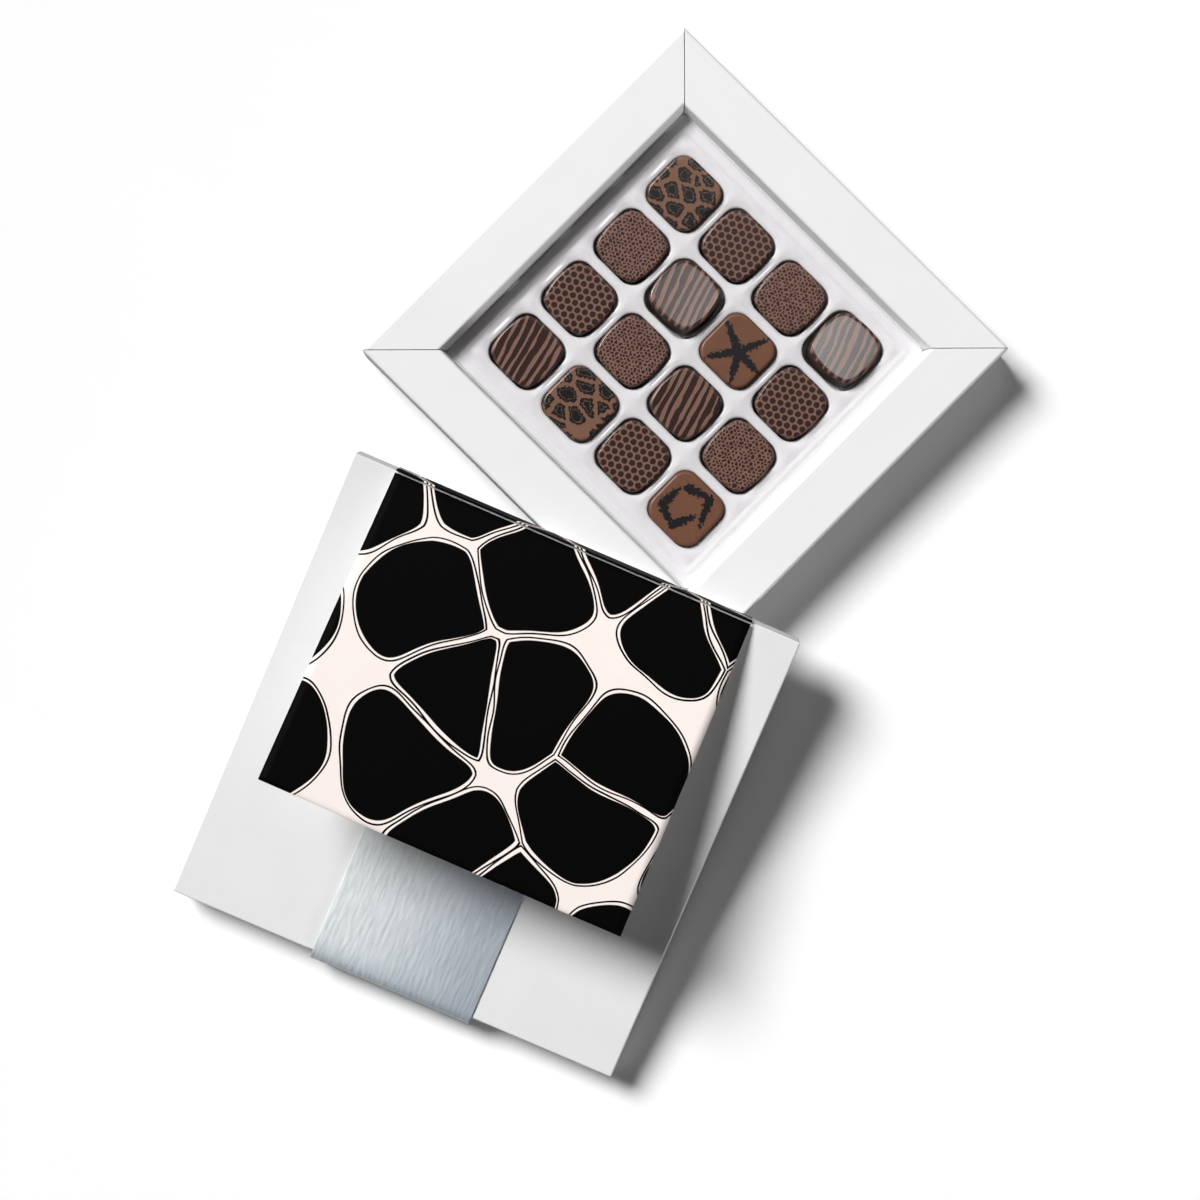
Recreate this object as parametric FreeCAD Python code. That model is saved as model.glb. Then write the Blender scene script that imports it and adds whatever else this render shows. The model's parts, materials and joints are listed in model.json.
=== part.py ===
import FreeCAD, Part
import math
import os

# A square box of chocolates with its lid taken off. The base is a folded-card frame around a clear tray
# of chocolates. The lid leans against one corner of the base, with a printed card on it and a paper band.
# Millimetres and degrees. The origin is the centre of the base's underside, and +Z is up.

# Base: a floor and four hollow rails that meet in mitres, sized around the tray
frame_card = 0.8
floor_card = 1.2
rail_width = 20.5
rail_fold_inner_radius = 0.6
rail_lean = 4.0
mitre_gap = 0.3

# Chocolates: two shapes of dipped square, one with straight sides and one with swelling sides
grid_count = 4
chocolate_side = 23.5
chocolate_height = 11.0
chocolate_top_round = 1.3
squared_corner = 6.2
swelling_corner = 4.8
swelling_bulge = 0.9
tilted_seat_gap = 0.1

# Tray: a thin clear sheet that stands on the floor by its skirt
tray_sheet = 0.5
tray_gap = 0.5
tray_corner = 5.0
flange_drop = 8.0
flange_margin = 8.0
bead_width = 1.4
bead_height = 0.6
bead_inset = 3.0
cup_gap = 0.5
cup_draft = 0.65
cup_depth = 9.0
cup_corner = 6.6
cup_land = 2.0
cup_foot_gap = 5.3

# Lid: a top board on four skirt boards, a lining and corner stays
lid_board = 2.0
lid_clearance = 1.5
lid_height = 15.0
lid_edge_radius = 0.6
lining_paper = 0.3
lining_gap = 0.2
stay_paper = 0.4
stay_leg = 12.0
stay_foot_gap = 2.0

# Band of crinkled paper across the lid and over its front edge
band_width = 64.0
band_paper = 0.6
band_proud = 3.6
band_bend_radius = 2.0
band_end_height = 2.5
band_back_gap = 1.5
band_seat_gap = 0.1

# Printed card: a tab glued to the back skirt, and a flap that turns about its crease
print_card = 0.6
print_width = 141.0
print_length = 123.0
print_offset = -1.5
tab_drop = 11.0
crease_gap = 0.4
flap_clearance = 0.3
flap_rest_angle = 14.5

# How the lid leans: its front edge is on the table and its back skirt on two rails of the base
lid_heading = -68.4
lid_corner_offset = 55.5
lean_gap = 0.3
tray_lift_clearance = 2.6

# What lies in each cup, and how it was dropped in: a turn about the vertical, then a tilt towards a bearing
squared_tops = {"spots", "sprig"}
assortment = [
    ["spots", "dots", "speckle", "stripes"],
    ["speckle", "stripes", "sprig", "dots"],
    ["dots", "speckle", "stripes", "speckle"],
    ["stripes", "spots", "dots", "sprig"],
]
turns = [
    [1.0, -1.5, 0.5, 2.0],
    [-1.0, 1.5, 0.0, 1.0],
    [2.0, -0.5, 1.0, -2.0],
    [-1.5, 0.5, -1.0, 1.5],
]
tilts = {(1, 1): (6.0, 45.0), (0, 3): (6.0, 0.0)}

# How far a cutting shape runs past the faces that it opens, and how close two points count as one
cut_margin = 1.0
same_place = 1e-6

# Heights and widths worked out from the ones above
cup_floor = floor_card + cup_foot_gap + tray_sheet
flange_top = cup_floor + cup_depth
base_height = flange_top + flange_drop
cup_mouth_half = chocolate_side / 2 + cup_gap + cup_draft
cup_pitch = 2 * cup_mouth_half + cup_land
flange_half = (grid_count - 1) / 2 * cup_pitch + cup_mouth_half + flange_margin
lean_at_flange = rail_lean * flange_drop / (base_height - floor_card)
base_half = flange_half + tray_gap + lean_at_flange + rail_width
rail_fold_radius = rail_fold_inner_radius + frame_card

# The lid's size, how it tips, and how far its back skirt stands over the base's corner, short of the tray
lid_side = 2 * (base_half + lid_clearance + lid_board)
skirt_height = lid_height - lid_board
hinge_height = lid_height + band_paper + flap_clearance
lid_pitch = math.degrees(math.asin((base_height + lean_gap) / (lid_side - lid_board)))
corner_spread = abs(math.cos(math.radians(lid_heading))) + abs(math.sin(math.radians(lid_heading)))
tray_corner_reach = (base_half - flange_half + tray_corner) * corner_spread - tray_corner
lid_overlap = tray_corner_reach - tray_lift_clearance

X_AXIS = FreeCAD.Vector(1, 0, 0)
Z_AXIS = FreeCAD.Vector(0, 0, 1)
ORIGIN = FreeCAD.Vector(0, 0, 0)


def point(x, y, z=0.0):
    return FreeCAD.Vector(x, y, z)


def polygon_face(corners):
    return Part.Face(Part.makePolygon(corners + corners[:1]))


def cuboid(x_low, x_high, y_low, y_high, z_low, z_high):
    return Part.makeBox(x_high - x_low, y_high - y_low, z_high - z_low, point(x_low, y_low, z_low))


def turned(shape, centre, axis, angle):
    copy = shape.copy()
    copy.rotate(centre, axis, angle)
    return copy


def arc(centre, radius, start, end):
    """An arc in the plane Z = centre.z, from one angle to another."""
    def at(angle):
        return centre + point(radius * math.cos(math.radians(angle)), radius * math.sin(math.radians(angle)))
    return Part.Arc(at(start), at((start + end) / 2), at(end)).toShape()


def square_wire(half, corner, z, bulge=0.0):
    """A square with round corners, whose sides swell by the bulge."""
    reach = half - corner - bulge
    edges = []
    for side in range(4):
        if bulge > 0:
            side_radius = (reach**2 + bulge**2) / (2 * bulge)
            spread = math.degrees(math.asin(reach / side_radius))
            centre = point(0, reach + bulge - side_radius, z)
            edge = arc(centre, side_radius + corner, 90 + spread, 90 - spread)
        else:
            spread = 0.0
            edge = Part.makeLine(point(-reach, half, z), point(reach, half, z))
        bend = arc(point(reach, reach, z), corner, 90 - spread, spread)
        edges += [turned(piece, ORIGIN, Z_AXIS, -90 * side) for piece in (edge, bend)]
    return Part.Wire(edges)


def square_prism(half, corner, z_low, z_high, bulge=0.0):
    return Part.Face(square_wire(half, corner, z_low, bulge)).extrude(point(0, 0, z_high - z_low))


def square_frustum(half_at, corner, z_low, z_high):
    """A block whose half width at a height is given by a function."""
    wires = [square_wire(half_at(z), corner, z) for z in (z_low, z_high)]
    return Part.makeLoft(wires, True, True)


# Base

def opening_half(z):
    """Half the width between the leaning inner walls at a height."""
    share = (base_height - z) / (base_height - floor_card)
    return base_half - rail_width - rail_lean * share


def rail():
    """The rail along -Y: an outer wall, a flat top and an inner wall that leans in, as one folded strip."""
    lean = math.hypot(rail_lean, base_height - floor_card)
    lean_run = rail_lean / (base_height - floor_card)
    wall_run = frame_card * lean / (base_height - floor_card)
    under_top = base_height - frame_card
    inner_top = rail_width + lean_run * frame_card - wall_run
    inner_foot = rail_width + rail_lean - wall_run
    outline = [
        (0, 0), (0, base_height), (rail_width, base_height), (rail_width + rail_lean, floor_card),
        (inner_foot, floor_card), (inner_top, under_top), (frame_card, under_top), (frame_card, 0),
    ]
    section = polygon_face([point(-base_half, inward - base_half, z) for inward, z in outline])
    strip = section.extrude(point(2 * base_half, 0, 0))
    for height, radius in ((base_height, rail_fold_radius), (under_top, rail_fold_inner_radius)):
        folds = [
            edge for edge in strip.Edges
            if abs(edge.Vertexes[0].Z - height) + abs(edge.Vertexes[1].Z - height) < same_place
            and edge.Length > base_half
        ]
        strip = strip.makeFillet(radius, folds)
    depth = rail_width + rail_lean
    back_off = mitre_gap / math.sqrt(2)
    ends = [
        point(-base_half + back_off, -base_half), point(base_half - back_off, -base_half),
        point(base_half - depth - back_off, -base_half + depth),
        point(-base_half + depth + back_off, -base_half + depth),
    ]
    return strip.common(polygon_face(ends).extrude(point(0, 0, base_height)))


def base_floor():
    half = base_half - frame_card
    return cuboid(-half, half, -half, half, 0, floor_card)


# Tray and chocolates

def cup_centre(row, column):
    first = (grid_count - 1) / 2 * cup_pitch
    return point(first - row * cup_pitch, first - column * cup_pitch)


def cup_half(z):
    return chocolate_side / 2 + cup_gap + cup_draft * (z - cup_floor) / cup_depth


def tray_half(z):
    return opening_half(z) - tray_gap


def tray():
    outside = square_frustum(tray_half, tray_corner, floor_card, flange_top)
    hollow = square_frustum(
        lambda z: tray_half(z) - tray_sheet, tray_corner - tray_sheet, floor_card - cut_margin,
        flange_top - tray_sheet,
    )
    bead_half = tray_half(flange_top) - bead_inset
    bead = square_prism(bead_half, tray_corner, flange_top - tray_sheet / 2, flange_top + bead_height).cut(
        square_prism(
            bead_half - bead_width, tray_corner - bead_width, flange_top - cut_margin,
            flange_top + bead_height + cut_margin,
        )
    )
    cup_outside = square_frustum(
        lambda z: cup_half(z) + tray_sheet, cup_corner + tray_sheet, cup_floor - tray_sheet,
        flange_top - tray_sheet / 2,
    )
    cup_inside = square_frustum(cup_half, cup_corner, cup_floor, flange_top + cut_margin)
    outsides = []
    insides = []
    for row in range(grid_count):
        for column in range(grid_count):
            outsides.append(cup_outside.translated(cup_centre(row, column)))
            insides.append(cup_inside.translated(cup_centre(row, column)))
    sheet = outside.cut(hollow).fuse(outsides + [bead])
    return sheet.cut(insides).removeSplitter()


def pick(table, row, column):
    cells = table[row % len(table)]
    return cells[column % len(cells)]


def chocolate(row, column):
    squared = pick(assortment, row, column) in squared_tops
    corner = squared_corner if squared else swelling_corner
    bulge = 0.0 if squared else swelling_bulge
    block = square_prism(chocolate_side / 2, corner, 0, chocolate_height, bulge)
    rim = [edge for edge in block.Edges if edge.BoundBox.ZMin > chocolate_height / 2]
    block = block.makeFillet(chocolate_top_round, rim)
    block.rotate(ORIGIN, Z_AXIS, pick(turns, row, column))
    seat = cup_floor
    if (row, column) in tilts:
        tilt, bearing = tilts[row, column]
        across = point(-math.sin(math.radians(bearing)), math.cos(math.radians(bearing)))
        block.rotate(ORIGIN, across, tilt)
        seat += tilted_seat_gap - block.BoundBox.ZMin
    return block.translated(cup_centre(row, column) + point(0, 0, seat))


# Lid, in its own frame: X to the right, Y from the front edge to the back edge, Z up from the skirt's foot

def place_lid(shape):
    """Tips a piece of the lid about its front edge, turns it and sets it against the base's corner."""
    placed = turned(shape, ORIGIN, X_AXIS, lid_pitch)
    placed.rotate(ORIGIN, Z_AXIS, lid_heading)
    corner_reach = lid_side * math.cos(math.radians(lid_pitch)) - lid_overlap
    to_corner = FreeCAD.Rotation(Z_AXIS, lid_heading).multVec(point(lid_corner_offset, corner_reach))
    placed.translate(point(-base_half, -base_half) - to_corner)
    return placed


def lid_top():
    half = lid_side / 2
    board = cuboid(-half, half, 0, lid_side, skirt_height, lid_height)
    rim = [edge for edge in board.Edges if edge.BoundBox.ZMin > lid_height - lid_board / 2]
    return board.makeFillet(lid_edge_radius, rim)


def lid_skirt(quarter):
    half = lid_side / 2
    ends = [
        point(-half, 0), point(half, 0), point(half - lid_board, lid_board), point(-half + lid_board, lid_board),
    ]
    board = polygon_face(ends).extrude(point(0, 0, skirt_height))
    return turned(board, point(0, half), Z_AXIS, 90 * quarter)


def lid_lining():
    edge = lid_board + lining_gap
    half = lid_side / 2 - edge
    return cuboid(-half, half, edge, lid_side - edge, skirt_height - lining_paper, skirt_height)


def lid_corner_stays():
    """Strips of stiff paper folded into the four inner corners of the skirts."""
    half = lid_side / 2
    corner_x = -half + lid_board
    corner_y = lid_board
    top = skirt_height - lining_paper
    along_front = cuboid(corner_x, corner_x + stay_leg, corner_y, corner_y + stay_paper, stay_foot_gap, top)
    along_side = cuboid(corner_x, corner_x + stay_paper, corner_y, corner_y + stay_leg, stay_foot_gap, top)
    stay = along_front.fuse(along_side).removeSplitter()
    return Part.makeCompound([turned(stay, point(0, half), Z_AXIS, 90 * quarter) for quarter in range(4)])


def paper_band():
    """A strip along the lid's top that bends over the front edge and comes back to the skirt's foot."""
    inner_radius = band_bend_radius - band_paper
    bend_y = band_bend_radius - band_proud
    bend_z = lid_height + band_paper - band_bend_radius
    foot_y = -band_seat_gap
    foot_distance = math.hypot(foot_y - bend_y, band_end_height - bend_z)
    foot_angle = math.degrees(math.atan2(band_end_height - bend_z, foot_y - bend_y)) % 360
    leave = foot_angle - math.degrees(math.acos(inner_radius / foot_distance))
    back_y = lid_side - band_back_gap

    def on_bend(radius, angle):
        return point(0, bend_y + radius * math.cos(angle), bend_z + radius * math.sin(angle))

    def bend(radius):
        top = math.radians(90)
        end = math.radians(leave)
        return Part.Arc(on_bend(radius, top), on_bend(radius, (top + end) / 2), on_bend(radius, end)).toShape()

    outward = on_bend(1, math.radians(leave)) - on_bend(0, 0)
    foot_inner = point(0, foot_y, band_end_height)
    foot_outer = foot_inner + outward * band_paper
    back_outer = point(0, back_y, lid_height + band_paper)
    back_inner = point(0, back_y, lid_height)
    inner_bend = bend(inner_radius)
    outer_bend = bend(band_bend_radius)
    outline = Part.Wire(Part.__sortEdges__([
        Part.makeLine(back_inner, inner_bend.Vertexes[0].Point),
        inner_bend,
        Part.makeLine(inner_bend.Vertexes[1].Point, foot_inner),
        Part.makeLine(foot_inner, foot_outer),
        Part.makeLine(foot_outer, outer_bend.Vertexes[1].Point),
        outer_bend,
        Part.makeLine(outer_bend.Vertexes[0].Point, back_outer),
        Part.makeLine(back_outer, back_inner),
    ]))
    strip = Part.Face(outline).extrude(point(band_width, 0, 0))
    return strip.translated(point(-band_width / 2, 0, 0))


def card_tab():
    left = print_offset - print_width / 2
    back = lid_side + print_card
    return cuboid(
        left, left + print_width, lid_side, back, lid_height - tab_drop, hinge_height - flap_clearance
    )


def card_flap():
    left = print_offset - print_width / 2
    back = lid_side - crease_gap
    flat = cuboid(
        left, left + print_width, back - print_length, back, hinge_height, hinge_height + print_card
    )
    return turned(flat, point(0, lid_side, hinge_height), X_AXIS, -flap_rest_angle)


# All pieces by name

pieces = {"base_floor": base_floor(), "tray": tray()}
sides = ["front", "right", "back", "left"]
front_rail = rail()
for quarter, side in enumerate(sides):
    pieces["rail_" + side] = turned(front_rail, ORIGIN, Z_AXIS, 90 * quarter)
    pieces["lid_skirt_" + side] = place_lid(lid_skirt(quarter))
for row in range(grid_count):
    for column in range(grid_count):
        pieces[f"chocolate_r{row + 1}c{column + 1}"] = chocolate(row, column)
pieces["lid_top"] = place_lid(lid_top())
pieces["lid_lining"] = place_lid(lid_lining())
pieces["lid_corner_stays"] = place_lid(lid_corner_stays())
pieces["paper_band"] = place_lid(paper_band())
pieces["card_tab"] = place_lid(card_tab())
pieces["card_flap"] = place_lid(card_flap())

os.makedirs("parts", exist_ok=True)
for name, shape in pieces.items():
    shape.exportStep(f"parts/{name}.step")
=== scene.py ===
import json
import math

import bmesh
import bpy
from mathutils import Matrix, Vector


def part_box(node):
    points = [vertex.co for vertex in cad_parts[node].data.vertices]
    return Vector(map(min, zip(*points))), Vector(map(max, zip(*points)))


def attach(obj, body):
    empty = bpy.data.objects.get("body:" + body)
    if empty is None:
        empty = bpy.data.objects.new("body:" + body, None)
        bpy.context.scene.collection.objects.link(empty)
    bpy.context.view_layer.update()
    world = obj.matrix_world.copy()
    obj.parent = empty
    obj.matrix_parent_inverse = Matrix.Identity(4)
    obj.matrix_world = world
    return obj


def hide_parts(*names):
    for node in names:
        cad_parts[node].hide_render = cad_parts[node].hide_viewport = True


# A square box of chocolates with its lid off. Lengths are written in millimetres and built in metres.

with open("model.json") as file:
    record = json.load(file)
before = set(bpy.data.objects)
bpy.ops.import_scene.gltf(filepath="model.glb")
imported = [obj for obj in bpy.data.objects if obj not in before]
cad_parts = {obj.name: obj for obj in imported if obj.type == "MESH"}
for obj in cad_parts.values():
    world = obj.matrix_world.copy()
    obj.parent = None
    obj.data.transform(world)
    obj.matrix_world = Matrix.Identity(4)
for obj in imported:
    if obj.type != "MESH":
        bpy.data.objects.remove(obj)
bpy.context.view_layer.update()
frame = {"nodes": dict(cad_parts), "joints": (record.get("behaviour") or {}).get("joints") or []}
MM = 0.001
TO_METRES = Matrix.Scale(MM, 4)

# Chocolates: two dipped shapes, what lies in each cup, how it was dropped in, and how its print starts
chocolate_side = 23.5
chocolate_height = 11.0
top_round = 1.0
foot_round = 0.5
squared_corner = 6.2
swelling_corner = 4.8
swelling_bulge = 0.9
squared_tops = {"spots", "sprig"}
assortment = [
    ["spots", "dots", "speckle", "stripes"],
    ["speckle", "stripes", "sprig", "dots"],
    ["dots", "speckle", "stripes", "speckle"],
    ["stripes", "spots", "dots", "sprig"],
]
turns = [
    [0.5, -0.7, 0.3, 2.0],
    [-0.5, 1.5, 0.0, 0.5],
    [0.8, -0.3, 0.5, -0.8],
    [-0.7, 0.3, -0.5, 0.7],
]
tilts = {(1, 1): (6.0, 45.0), (0, 3): (6.0, 0.0)}
level_coat_ior = 1.45
tipped_coat_ior = {(1, 1): 1.6, (0, 3): 2.0}
row_shift = 41.0
column_shift = 57.0
first_shift = (3.0, 5.0)

# Tray: a thin formed sheet with a cup for each chocolate
cup_count = 4
cup_pitch = 27.8
snug_cup = {"mouth": 11.87, "waist": 11.87, "foot": 11.87}
wide_cup = {"mouth": 12.6, "waist": 12.35, "foot": 12.25}
cup_straight = 6.0
cup_land = 13.6
cup_mouth_fall = 0.8
cup_depth = 9.0
cup_floor_round = 1.3
land_dip = 0.4
crossing_rise = 1.0
rim_margin = 1.2
node_bead = 0.6
bead_height = 0.2
bead_width = 2.6
bead_inset = 2.6
tray_corner = 1.5
lip_width = 2.4
lip_height = 0.6
lip_flare = 0.3
tray_sheet = 0.4
tray_fullness = 0.3
skirt_draft = 2.9
weld_distance = 0.02

# Lid: boards wrapped in paper, tipped and turned against the corner of the base
lid_clearance = 1.5
lid_board = 2.0
lid_height = 15.0
lid_edge_round = 0.7
lean_gap = 0.3

# Band of crinkled paper across the lid
band_width = 64.0
band_paper = 0.6
band_proud = 3.6
band_bend_radius = 5.0
band_end_height = 2.5
band_back_gap = 1.5
band_seat_gap = 0.1
band_fold = 11.8
band_sheet = 0.25
band_columns = 190
band_rows = 150
bend_steps = 12
rib_step = 1.3
rib_height = 0.36
rib_stretch = (1.0, 0.17, 1.0)
rib_wander = 0.9
rib_wander_size = 9.0

# Printed card: a tab glued to the lid's back, and the flap that turns about the crease
print_card = 0.6
print_width = 141.0
print_length = 123.0
print_offset = -1.5
tab_drop = 11.0
crease_gap = 0.8
flap_clearance = 0.3
flap_rest_angle = 14.5
flap_bow = 1.2
flap_twist = 5.0


# Node trees

def operator(operation, swapped=False):
    """A method of Value that adds a Math node."""
    def apply(self, other):
        pair = (other, self) if swapped else (self, other)
        return self.nodes.math(operation, *pair)
    return apply


class Value:
    """A socket that takes part in arithmetic: each operator adds a Math node to its tree."""
    __add__ = operator("ADD")
    __radd__ = operator("ADD", swapped=True)
    __sub__ = operator("SUBTRACT")
    __rsub__ = operator("SUBTRACT", swapped=True)
    __mul__ = operator("MULTIPLY")
    __rmul__ = operator("MULTIPLY", swapped=True)
    __truediv__ = operator("DIVIDE")
    __rtruediv__ = operator("DIVIDE", swapped=True)
    __mod__ = operator("FLOORED_MODULO")

    def __init__(self, nodes, socket):
        self.nodes = nodes
        self.socket = socket

    def __abs__(self):
        return self.nodes.math("ABSOLUTE", self)


class Nodes:
    """Adds nodes to a tree: settings are set first, then the sockets get values or links."""

    def __init__(self, tree):
        self.tree = tree

    def add(self, kind, settings=(), inputs=(), output=0):
        node = self.tree.nodes.new(kind)
        for name, value in dict(settings).items():
            setattr(node, name, value)
        for key, value in dict(inputs).items():
            self.put(node.inputs[key], value)
        if isinstance(output, tuple):
            return [Value(self, node.outputs[key]) for key in output]
        return Value(self, node.outputs[output]) if node.outputs else None

    def put(self, socket, value):
        for part in value if isinstance(value, list) else [value]:
            if isinstance(part, Value):
                self.tree.links.new(part.socket, socket)
            else:
                socket.default_value = part

    def math(self, operation, *values):
        return self.add("ShaderNodeMath", {"operation": operation}, enumerate(values))

    def vector(self, operation, *values, output=0):
        return self.add("ShaderNodeVectorMath", {"operation": operation}, enumerate(values), output)

    def scaled(self, vector, factor):
        return self.add("ShaderNodeVectorMath", {"operation": "SCALE"}, {0: vector, "Scale": factor})

    def split(self, vector):
        return self.add("ShaderNodeSeparateXYZ", (), {0: vector}, (0, 1, 2))

    def joined(self, x, y, z=0.0):
        return self.add("ShaderNodeCombineXYZ", (), {0: x, 1: y, 2: z})

    def step(self, value, low, high):
        """0 below the low value, 1 above the high one, and smooth between them."""
        return self.add(
            "ShaderNodeMapRange", {"interpolation_type": "SMOOTHSTEP"},
            {"Value": value, "From Min": low, "From Max": high},
        )

    def mix(self, share, first, second):
        """A colour between two."""
        return self.add("ShaderNodeMix", {"data_type": "RGBA"}, {0: share, 6: first, 7: second}, 2)

    def noise(self, at, size, detail=2.0, roughness=0.5):
        return self.add(
            "ShaderNodeTexNoise", (),
            {"Vector": at, "Scale": 1 / size, "Detail": detail, "Roughness": roughness},
        )

    def cells(self, at, size, feature, spread):
        """Distance to the nearest of many scattered points, or to the border of its cell, in cell sizes."""
        return self.add(
            "ShaderNodeTexVoronoi", {"feature": feature, "voronoi_dimensions": "2D"},
            {"Vector": at, "Scale": 1 / size, "Randomness": spread},
        )

    def drift(self, at, size, amount):
        """A place moved about by a smooth noise, by the amount at most."""
        wander = self.add("ShaderNodeTexNoise", (), {"Vector": at, "Scale": 1 / size, "Detail": 0.5}, 1)
        away = self.vector("SUBTRACT", wander, (0.5, 0.5, 0.5))
        return self.vector("ADD", at, self.scaled(away, 2 * amount))

    def bump(self, height, depth):
        """The normal of a surface that rises by the depth, in millimetres, where the height is 1."""
        return self.add("ShaderNodeBump", (), {"Height": height, "Distance": depth * MM}, "Normal")

    def place(self):
        """Where the surface is, in millimetres."""
        return self.scaled(self.add("ShaderNodeTexCoord", output="Object"), 1 / MM)

    def flat_place(self, map_name):
        """Where the surface is on the piece's own flat map, in millimetres."""
        return self.add("ShaderNodeUVMap", {"uv_map": map_name})


def shade(red, green, blue):
    """A colour as linear light, from its levels on screen."""
    def linear(level):
        share = level / 255
        return share / 12.92 if share <= 0.04045 else ((share + 0.055) / 1.055) ** 2.4
    return (linear(red), linear(green), linear(blue), 1.0)


def material(name, paint, **fixed):
    """A material: paint gives what varies, by socket, and fixed what is the same all over."""
    made = bpy.data.materials.new(name)
    made.use_nodes = True
    nodes = Nodes(made.node_tree)
    shader = made.node_tree.nodes["Principled BSDF"]
    for key, value in fixed.items():
        shader.inputs[key.replace("_", " ")].default_value = value
    for key, value in paint(nodes).items():
        nodes.put(shader.inputs[key], value)
    return made


# Paper finishes

def paper(name, light, dark, roughness, fibre_depth):
    """Matt white stock: faint clouding, short fibres and a fine tooth."""
    cloud_size = 22.0
    tooth_size = 0.32
    fibre_size = 1.1
    fibre_stretch = (1.0, 0.35, 1.0)
    roughness_spread = 0.14

    def paint(nodes):
        at = nodes.place()
        cloud = nodes.noise(at, cloud_size, detail=3.0)
        tooth = nodes.noise(at, tooth_size, detail=3.0, roughness=0.65)
        fibre = nodes.noise(nodes.vector("MULTIPLY", at, fibre_stretch), fibre_size)
        body = 0.55 * cloud + 0.25 * tooth + 0.2 * fibre
        return {
            "Base Color": nodes.mix(nodes.step(body, 0.35, 0.65), dark, light),
            "Roughness": roughness + roughness_spread * (tooth - 0.5),
            "Normal": nodes.bump(0.6 * tooth + 0.4 * fibre, fibre_depth),
        }
    return material(name, paint, Specular_IOR_Level=0.3)


frame_card = paper("frame_card", shade(239, 239, 239), shade(237, 237, 238), 0.55, 0.012)
lid_wrap = paper("lid_wrap", shade(233, 233, 233), shade(230, 230, 231), 0.5, 0.014)
lining_paper = paper("lining_paper", shade(238, 237, 234), shade(230, 229, 226), 0.7, 0.03)
plain_card = paper("plain_card", shade(247, 241, 237), shade(241, 235, 230), 0.6, 0.02)


def print_pattern(nodes):
    """Rounded black patches on cream, as on a giraffe, each with a loose line drawn around it."""
    size = 39.0
    spread = 1.0
    start = (14.0, 31.0, 0.0)
    wander = 4.0
    wander_size = 30.0
    gap = 1.6
    reach = 0.64
    rounding = 0.16
    line_offset = 1.0
    line_width = 0.55
    looseness = 2.4
    loose_size = 18.0
    soft = 0.1
    at = nodes.flat_place("print")
    moved = nodes.drift(nodes.vector("ADD", at, start), wander_size, wander)
    to_neighbour = nodes.cells(moved, size, "DISTANCE_TO_EDGE", spread)
    to_centre = nodes.cells(moved, size, "F1", spread)
    edge = size * nodes.math("SMOOTH_MAX", gap / size - to_neighbour, to_centre - reach, rounding)
    loose = nodes.noise(at, loose_size, detail=0.0) - 0.5
    solid = 1 - nodes.step(edge, -soft, soft)
    from_line = abs(edge - line_offset + looseness * loose)
    line = 1 - nodes.step(from_line, line_width / 2, line_width / 2 + soft)
    return nodes.math("MAXIMUM", solid, line)


def paint_print(nodes):
    """Cream card with matt black ink."""
    tooth_size = 0.3
    cloud_size = 14.0
    ink_depth = 0.008
    at = nodes.place()
    ink = print_pattern(nodes)
    tooth = nodes.noise(at, tooth_size, detail=3.0, roughness=0.6)
    cloud = nodes.noise(at, cloud_size)
    cream = nodes.mix(cloud, shade(250, 238, 232), shade(255, 245, 240))
    black = nodes.mix(tooth, shade(1, 1, 1), shade(5, 5, 5))
    return {
        "Base Color": nodes.mix(ink, cream, black),
        "Roughness": 0.75 - 0.1 * ink,
        "Normal": nodes.bump(0.3 * tooth + 0.7 * ink, ink_depth),
    }


printed_card = material("printed_card", paint_print, Specular_IOR_Level=0.04)


def along_ribs(nodes, at):
    """A place on the strip, made to waver and drawn out along it, for a noise that looks like ribs."""
    return nodes.vector("MULTIPLY", nodes.drift(at, rib_wander_size, rib_wander), rib_stretch)


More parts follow.
